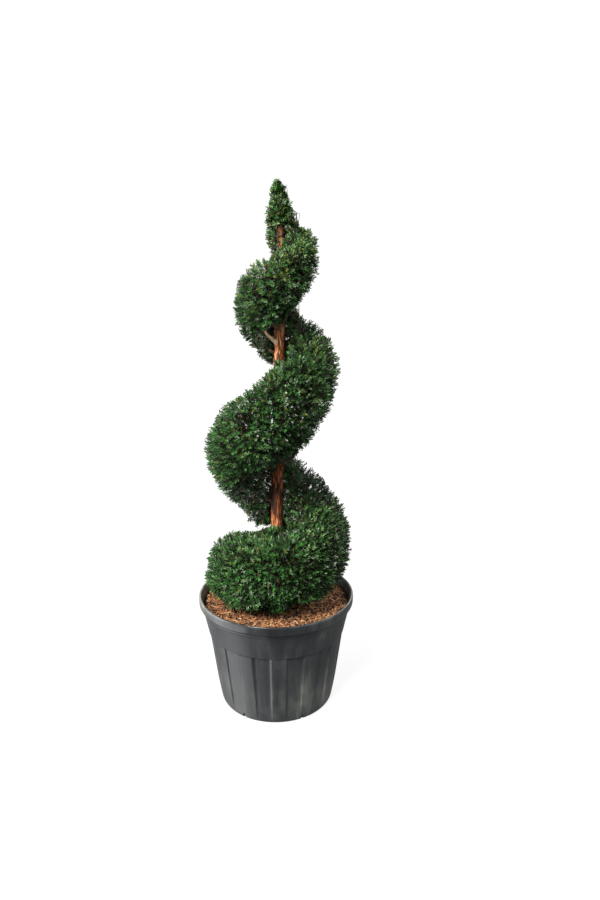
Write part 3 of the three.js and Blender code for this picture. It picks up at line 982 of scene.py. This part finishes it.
def bough(name, root, tip):
    """One tapering limb with a collar where it leaves the trunk."""
    shape = rod(14, 30)
    axis = unit(tip - root)
    side = unit(np.cross(axis, [0.0, 0.0, 1.0]))
    over = np.cross(side, axis)
    reach = np.linalg.norm(tip - root)
    start = 0.55 * trunk_radius(root[2])[0] / reach
    for vertex in shape.verts:
        along = start + (1 - start) * (vertex.co.z + 0.5)
        angle = math.atan2(vertex.co.y, vertex.co.x)
        radius = BOUGH_RADIUS + (BOUGH_TIP_RADIUS - BOUGH_RADIUS) * along
        from_trunk = along * reach - trunk_radius(root[2])[0]
        radius += 0.004 * math.exp(-max(from_trunk, 0) / 0.008)
        here = Vector((math.cos(angle) * 2, math.sin(angle) * 2, along * reach * 60))
        radius *= 1 + 0.10 * noise.noise(here)
        centre = root + (tip - root) * along - over * 4 * BOUGH_SAG * along * (1 - along)
        vertex.co = centre + side * radius * math.cos(angle) + over * radius * math.sin(angle)
    bmesh.ops.recalc_face_normals(shape, faces=shape.faces)
    return finished(shape, name)


piece("trunk_bark", trunk(), [bark], ["trunk"])
piece("bare_limb", bough("bare_limb", *np.array(BARE_LIMB)), [limb_bark_painted_light])


# Twigs and needles
def creases(points):
    """From 0 on a tuft of the clipped surface to 1 in the crease between two."""
    return np.clip([0.45 + 1.1 * noise.noise(Vector(p) * TUFT_SCALE) for p in points], 0, 1)


def surface_spread(start, end, spacing, rng):
    """An even, jittered spread over the band between two places along it."""
    reach = smooth(TURNS, (start + end) / 2)[0, 1]
    rows = max(3, round((end - start) * math.pi / 2 * reach / spacing))
    fine = np.linspace(-math.pi, math.pi, 181)
    turns, arounds = [], []
    for row in range(rows):
        turn = start + (end - start) * (row + 0.5) / rows
        ring = band_point(turn, fine, 0.0)
        walked = np.concatenate([[0], np.cumsum(np.linalg.norm(np.diff(ring, axis=0), axis=1))])
        count = max(6, round(walked[-1] / spacing))
        place = (np.arange(count) + 0.5 * (row % 2) + rng.uniform(-0.38, 0.38, count)) % count
        around = np.interp(place / count * walked[-1], walked, fine)
        radius = np.hypot(*band_point(turn, around, 0.0)[:, :2].T)
        kept = rng.uniform(0, 1, count) < np.clip(1.15 * radius / reach, 0.3, 1)
        wander = rng.uniform(-0.4, 0.4, count) * (end - start) / rows
        turns.append((turn + wander)[kept])
        arounds.append(around[kept])
    return np.concatenate(turns), np.concatenate(arounds)


def along_trunk(turn, around, half):
    """How far the shoots next to the trunk stand above the clipped section, below 0 for below."""
    left, front = np.clip(-outward(turn)[:, :2], 0, 1).T
    right = np.clip(outward(turn)[:, 0], 0, 1)
    inward = np.clip(-np.cos(around), 0, 1)
    level = np.abs(np.sin(around))
    side = LEFT_HANG * left**2 + FRONT_HANG * front**2 + RIGHT_HANG * right**2
    rise = CLIMB + RIGHT_CLIMB * right * (1 - front)
    climb = np.clip(1 + rise * inward - level ** (2 / TOP_ROUNDNESS), 0, None)
    hang = side * np.clip(1 + HANG * inward - level ** (2 / UNDERSIDE_ROUNDNESS), 0, None)
    return half * np.where(inward > 0, np.where(np.sin(around) > 0, climb, -hang), 0)


def drawn_out(turn, around):
    """How far the shoots stand above the clipped section where it is drawn out, below 0 for below."""
    rise = np.zeros(len(turn))
    for place, width, amount, outer in DRAWN_OUT:
        near = np.clip(1 - ((turn - place) / width) ** 2, 0, 1)
        side = 0.5 + (outer - 0.5) * np.cos(around)
        level = np.clip(np.sign(amount) * np.sin(around), 0, 1)
        rise += amount * near * side * level
    return rise


def bare_place(tip):
    """Which shoots would hang in front of the bare trunk or limb, or stand in a hollow."""
    height = tip[:, 2]
    close = np.abs(tip[:, 0] - lean_at(height)) < trunk_radius(height) + BARE_MARGIN
    low, high = np.array(BARE_STRETCHES).T
    bare = close & ((height[:, None] > low) & (height[:, None] < high)).any(axis=1)
    start, end = np.array(BARE_LIMB)
    share = ramp(tip[:, 0], start[0], end[0])
    limb_height = start[2] + (end[2] - start[2]) * share
    limb = (share > 0.3) & (share < 1) & (np.abs(height - limb_height) < 0.016)
    hollow = np.zeros(len(tip), bool)
    for x, y, z, radius in HOLLOWS:
        hollow |= np.linalg.norm(tip - [x, y, z], axis=1) < radius
    return ((bare | limb) & (tip[:, 1] < 0)) | hollow


def shoots_of_mass(start, end, rng):
    """Tips, directions and lengths of a mass's shoots, outer ones first, and which are inner."""
    turn, around = surface_spread(start, end, SHOOT_SPACING, rng)
    deep_turn, deep_around = surface_spread(start, end, SHOOT_SPACING / math.sqrt(INNER_SHOOTS), rng)
    inner = np.concatenate([np.zeros(len(turn), bool), np.ones(len(deep_turn), bool)])
    turn = np.concatenate([turn, deep_turn])
    around = np.concatenate([around, deep_around])
    count = len(turn)
    reach, half = smooth(TURNS, turn)[:, 1:].T
    size = np.clip(reach / 0.200, 0.55, 1)
    surface = band_point(turn, around, 0.0)
    crease = creases(surface)
    inset = SHOOT_DEPTH * rng.uniform(0, 1, count) ** 1.5 + CREASE_DEPTH * crease * size
    depth = np.clip(inset / (SHOOT_DEPTH + CREASE_DEPTH), 0, 1)
    deep = rng.uniform(*INNER_DEPTHS, count) * np.clip(half / 0.15, 0.4, 1)
    inset = np.where(inner, deep, inset)
    tip = band_point(turn, around, inset)
    tip[:, 2] += along_trunk(turn, around, half) + drawn_out(turn, around)
    loose = np.clip(1 - np.abs(turn - LOOSE_TURN) / LOOSE_WIDTH, 0, 1)
    tip[:, 2] += LOOSE_TOP * loose * np.clip(np.sin(around), 0, 1)
    normal = band_normal(turn, around, 0.012)
    radial = outward(turn)
    up = np.array([0.0, 0.0, 1.0])
    # shoots point out of the surface, away from the trunk and a little up
    growth = 0.75 * normal + 0.32 * radial + 0.30 * up + rng.normal(0, 0.24, (count, 3))
    shoots = {
        "tip": tip,
        "growth": unit(growth),
        "length": SHOOT_LENGTH * rng.uniform(0.8, 1.2, count) * size,
        "inner": inner,
        "normal": normal,
        "depth": depth,
        "hidden": np.cos(around) < -0.3,
    }
    kept = ~bare_place(tip)
    return {key: values[kept] for key, values in shoots.items()}


def tip_shoots(rng):
    """Shoots of the pointed top, round the leader, reaching up past each other."""
    count = TIP_SHOOTS
    share = rng.uniform(0, 1, count) ** 1.2
    top = TIP_HEIGHT - 0.010
    height = TIP_FOOT - 0.020 + (top - TIP_FOOT + 0.020) * share
    angle = np.arange(count) * GOLDEN_ANGLE
    radius = (TIP_RADIUS - 0.006) * np.clip((top - height) / (top - TIP_FOOT), 0.02, 1.2) ** 0.42
    radius *= np.where(rng.uniform(0, 1, count) < 0.3, 0.6, rng.uniform(0.70, 1.22, count))
    out = np.stack([np.cos(angle), np.sin(angle), np.zeros(count)], axis=1)
    tip = out * radius[:, None]
    tip[:, 0] += lean_at(height) - 0.004 * share**2
    tip[:, 2] = height
    growth = unit(0.55 * out + np.array([0, 0, 1.0]) + rng.normal(0, 0.30, (count, 3)))
    return {
        "tip": tip,
        "growth": growth,
        "length": 0.030 * rng.uniform(0.8, 1.3, count),
        "inner": np.zeros(count, bool),
        "normal": out,
        "depth": rng.uniform(0, 0.3, count),
        "hidden": np.zeros(count, bool),
    }


LOOKS = list(NEEDLES)


def dealt_looks(shoots, rng):
    """The number of each shoot's needle colour, with painted shade and light: darker inside, in
    creases and low on the right, where shade falls, and paler on upper faces, on the left low
    down and near the top of the plant, where light falls."""
    count = len(shoots["tip"])
    upward = np.clip(shoots["normal"][:, 2], 0, 1)
    leftward = np.clip(-shoots["normal"][:, 0], 0, 1)
    rightward = np.clip(shoots["normal"][:, 0], 0, 1)
    height = shoots["tip"][:, 2]
    low = ramp(height, *LOW_SHOOTS)
    painted_sun_near_top = ramp(height, *PAINTED_SUN_SHOOTS)
    # painted shade on the right side, most low down
    shaded = rightward * (0.12 + 1.3 * low)
    outer = np.where(shoots["inner"], 0.2, 1) * (1 - 0.6 * shoots["depth"])
    # deep paints shade; light, fresh and olive are partly painted light, and the sage green a painted
    # sheen
    weights = {
        "deep": 0.10 + 1.1 * shoots["depth"] ** 1.5 + 1.5 * shoots["inner"] + shaded,
        "mid": 0.55 * np.ones(count),
        "light": outer * (0.24 + 0.15 * upward + 0.16 * leftward * low + 0.45 * painted_sun_near_top),
        "fresh": outer * (0.10 + 0.40 * leftward * low),
        "olive": outer * (0.05 + 0.26 * upward * (1 - low) + 0.60 * painted_sun_near_top),
        "painted_sheen": outer * (0.10 + 0.06 * rightward),
        "brown": 0.015 + 0.04 * shoots["hidden"] + 0.02 * shoots["inner"] + 0.12 * painted_sun_near_top,
    }
    share = np.stack([weights[look] for look in LOOKS], axis=1)
    steps = np.cumsum(share / share.sum(axis=1, keepdims=True), axis=1)
    return (rng.uniform(0, 1, count)[:, None] > steps).sum(axis=1).clip(0, len(LOOKS) - 1)


def needles(shoots, looks, count, rng):
    """Points, face groups and colours of the needles of some shoots, a slim blade each."""
    number = len(shoots["tip"])
    growth = shoots["growth"]
    across = unit(np.cross(growth, unit(rng.normal(0, 1, (number, 3)))))
    over = np.cross(growth, across)
    k = np.arange(count)
    share = 0.30 + 0.70 * (k + 0.5) / count
    spin = k * GOLDEN_ANGLE + rng.uniform(0, 2 * math.pi, (number, 1))
    flatness = rng.uniform(0.55, 1.0, (number, 1))
    radial = unit(
        across[:, None] * np.cos(spin)[..., None] + over[:, None] * (flatness * np.sin(spin))[..., None]
    )
    # needles lean out by 64 degrees low on the shoot and by 32 at its tip
    lean = np.radians(64 - 32 * share**2 + rng.normal(0, 7, (number, count)))[..., None]
    stem = growth[:, None]
    blade = unit(stem * np.cos(lean) + radial * np.sin(lean))
    side = unit(np.cross(stem, radial))
    root = shoots["tip"][:, None] - stem * (shoots["length"][:, None] * (1 - share))[..., None]
    taper = np.where(share > 0.8, 1.15 - 0.35 * share, 1.0)
    length = (NEEDLE_LENGTH * rng.uniform(0.78, 1.15, (number, count)) * taper)[..., None]
    root = root - stem * 0.3 * length
    half = 0.5 * NEEDLE_WIDTH * rng.uniform(0.85, 1.15, (number, count))[..., None]
    low = root + blade * 0.25 * length
    high = root + (blade * 0.72 + stem * 0.05) * length
    point = root + (blade * 0.95 + stem * 0.16) * length
    corners = [
        root,
        low - side * half,
        low + side * half,
        high + side * half * 0.9,
        high - side * half * 0.9,
        point,
    ]
    points = np.stack(corners, axis=2).reshape(-1, 3)
    base = np.arange(number * count)[:, None] * 6
    triangles = np.concatenate([base + [0, 2, 1], base + [4, 3, 5]])
    quads = base + [1, 2, 3, 4]
    chance = rng.uniform(0, 1, (number, count))
    # older needles and the rest take the near-black deep green, painted shade among the shoots
    dealt = np.where(chance < OWN_COLOUR, looks[:, None], LOOKS.index("mid"))
    paler = (share > YOUNG_SHARE) & (chance < OWN_COLOUR + MID_COLOUR)
    dealt = np.where(paler, dealt, LOOKS.index("deep")).ravel()
    return points, [triangles, quads], [np.concatenate([dealt, dealt]), dealt]


def merged_groups(parts):
    """Several (points, face groups, kinds) as one mesh's arrays."""
    points, faces, kinds, done = [], [], [], 0
    for some_points, some_faces, some_kinds in parts:
        points.append(some_points)
        faces.extend(group + done for group in some_faces)
        kinds.extend(some_kinds)
        done += len(some_points)
    return np.concatenate(points), faces, np.concatenate(kinds)


def rods(starts, ends, start_radius, end_radius, look, sides=3):
    """Straight tapering twigs as open prisms: points, face groups and their colour."""
    starts, ends = np.asarray(starts, float), np.asarray(ends, float)
    axis = unit(ends - starts)
    helper = np.where(np.abs(axis[:, 2:]) > 0.9, [[1.0, 0.0, 0.0]], [[0.0, 0.0, 1.0]])
    side = unit(np.cross(axis, helper))
    over = np.cross(axis, side)
    rings = []
    for middle, radius in ((starts, start_radius), (ends, end_radius)):
        radius = np.broadcast_to(radius, (len(starts),))
        for i in range(sides):
            angle = 2 * math.pi * i / sides
            rings.append(middle + (side * math.cos(angle) + over * math.sin(angle)) * radius[:, None])
    points = np.stack(rings, axis=1).reshape(-1, 3)
    base = np.arange(len(starts))[:, None] * 2 * sides
    quads = [base + [i, (i + 1) % sides, sides + (i + 1) % sides, sides + i] for i in range(sides)]
    faces = np.concatenate(quads)
    return points, [faces], [np.full(len(faces), look)]


def gathered(points, cell):
    """Groups points by cubes of space: each group's middle, and every point's group."""
    keys = np.floor(points / cell).astype(int)
    found, group = np.unique(keys, axis=0, return_inverse=True)
    group = group.ravel()
    sums = np.zeros((len(found), 3))
    np.add.at(sums, group, points)
    return sums / np.bincount(group)[:, None], group


def nearest(points, line):
    """For each point, the nearest of a line's points."""
    gaps = np.linalg.norm(points[:, None] - line[None], axis=2)
    return line[gaps.argmin(axis=1)]


def twigs(shoots, line, size):
    """The branching from a mass's limb out to its shoots, by cubes of space."""
    roots = shoots["tip"] - shoots["growth"] * shoots["length"][:, None]
    small, group = gathered(roots, TWIG_CELL * size)
    small += (nearest(small, line) - small) * 0.28
    large, of_small = gathered(small, BRANCH_CELL * size)
    large += (nearest(large, line) - large) * 0.45
    ends = shoots["tip"] - shoots["growth"] * 0.004
    return [
        rods(roots, ends, 0.0009, 0.0005, YOUNG_TWIG),
        rods(small[group], roots, 0.0013, 0.0009, OLD_TWIG),
        rods(large[of_small], small, 0.0026 * size, 0.0014 * size, OLD_TWIG, 4),
        rods(nearest(large, line), large, 0.0042 * size, 0.0027 * size, OLD_TWIG, 5),
    ]


def limb_line(route_points, start, end):
    """The limb inside a mass: from its bough's tip to the band's middle, then along it both ways."""
    root, tip, entry, direction = route_points
    middle = (start + end) / 2
    sunk = entry + direction * 0.016
    hub = hub_point(np.linspace(middle, start + 0.1, 9))
    other = hub_point(np.linspace(middle, end - 0.1, 9))
    return np.vstack([tip, entry, sunk, hub]), np.vstack([hub[:1], other[1:]])


def limb_rods(path, start_radius, end_radius):
    radii = np.linspace(start_radius, end_radius, len(path))
    return rods(path[:-1], path[1:], radii[:-1], radii[1:], OLD_TWIG, 7)


def grow(name, shoots, limbs, size, rng, replaced):
    """Twigs and needles of one mass, as two joined pieces."""
    looks = dealt_looks(shoots, rng)
    groups = []
    for inner, count in ((False, NEEDLES_ON_SHOOT), (True, NEEDLES_ON_INNER_SHOOT)):
        mask = shoots["inner"] == inner
        if mask.any():
            part = {key: values[mask] for key, values in shoots.items()}
            groups.append(needles(part, looks[mask], count, rng))
    made = array_mesh(name + "_needles", *merged_groups(groups))
    piece(name + "_needles", made, list(NEEDLES.values()), [replaced])
    line = np.vstack(limbs)
    wood = [limb_rods(path, 0.0045 * size, 0.0022 * size) for path in limbs]
    made = array_mesh(name + "_twigs", *merged_groups(wood + twigs(shoots, line, size)))
    piece(name + "_twigs", made, TWIGS)


for i, (start, end) in enumerate(zip(MASS_JOINTS, MASS_JOINTS[1:])):
    number = f"{i + 1:02d}"
    rng = np.random.default_rng(100 + i)
    way = route(start, end)
    limb = bough(f"bough_{number}_bark", *way[:2])
    piece(f"bough_{number}_bark", limb, [bough_bark], [f"bough_{number}"])
    shoots = shoots_of_mass(start, end, rng)
    size = float(np.clip(smooth(TURNS, (start + end) / 2)[0, 1] / 0.200, 0.5, 1))
    grow(f"foliage_{number}", shoots, limb_line(way, start, end), size, rng, f"foliage_{number}")

rng = np.random.default_rng(500)
leader_heights = np.linspace(TIP_FOOT - 0.02, TIP_HEIGHT - 0.030, 12)
leader = np.stack([lean_at(leader_heights), 0 * leader_heights, leader_heights], axis=1)
grow("foliage_tip", tip_shoots(rng), [leader], 0.4, rng, "foliage_tip")


# Stage: a white floor that glows as a light table does, so that shadows on it stay faint, and
# a white surround. Both are only seen: they throw no light back into the plant's shaded side.
def staged(name, shape, colour, glow):
    """A floor or backdrop of white paper that glows."""
    paper, _, shader, _ = finish("studio_paper_" + name, Roughness=0.95, Emission_Strength=glow)
    shader.inputs["Base Color"].default_value = linear(colour)
    shader.inputs["Emission Color"].default_value = (1, 1, 1, 1)
    mesh = finished(shape, name)
    mesh.materials.append(paper)
    made = bpy.data.objects.new(name, mesh)
    bpy.context.scene.collection.objects.link(made)
    made.visible_diffuse = False
    made.visible_glossy = False
    made.visible_shadow = False


def floor():
    shape = bmesh.new()
    bmesh.ops.create_circle(shape, cap_ends=True, segments=96, radius=FLOOR_RADIUS)
    return shape


def surround():
    shape = bmesh.new()
    bmesh.ops.create_uvsphere(shape, u_segments=64, v_segments=32, radius=SURROUND_RADIUS)
    bmesh.ops.reverse_faces(shape, faces=shape.faces)
    return shape


def softbox(name, azimuth, elevation, spread, strength, colour):
    """A large soft lamp a long way off. Azimuth is from the front, towards +X, and the spread
    is how wide it looks from the plant, all in degrees."""
    data = bpy.data.lights.new(name, "SUN")
    data.angle = math.radians(spread)
    data.energy = strength
    data.color = linear(colour)[:3]
    lamp = bpy.data.objects.new(name, data)
    lamp.rotation_euler = (math.radians(90 - elevation), 0, math.radians(azimuth))
    bpy.context.scene.collection.objects.link(lamp)


staged("floor", floor(), "#606060", 0.82)
staged("surround", surround(), "#000000", 1.05)
softbox("key", -30, 47, 16, 7.5, "#fff9f0")
softbox("left_fill", -88, 10, 40, 4.6, "#ffffff")
softbox("floor_glow", -75, -22, 60, 3.0, "#ffffff")
softbox("right_fill", 46, 40, 25, 1.4, "#f2f6ff")
softbox("back_fill", 165, 32, 60, 2.2, "#ffffff")
world = bpy.data.worlds.new("surround")
world.use_nodes = True
world.node_tree.nodes["Background"].inputs["Color"].default_value = (1, 1, 1, 1)
world.node_tree.nodes["Background"].inputs["Strength"].default_value = 0.35
bpy.context.scene.world = world
bpy.context.scene.view_settings.view_transform = "Standard"
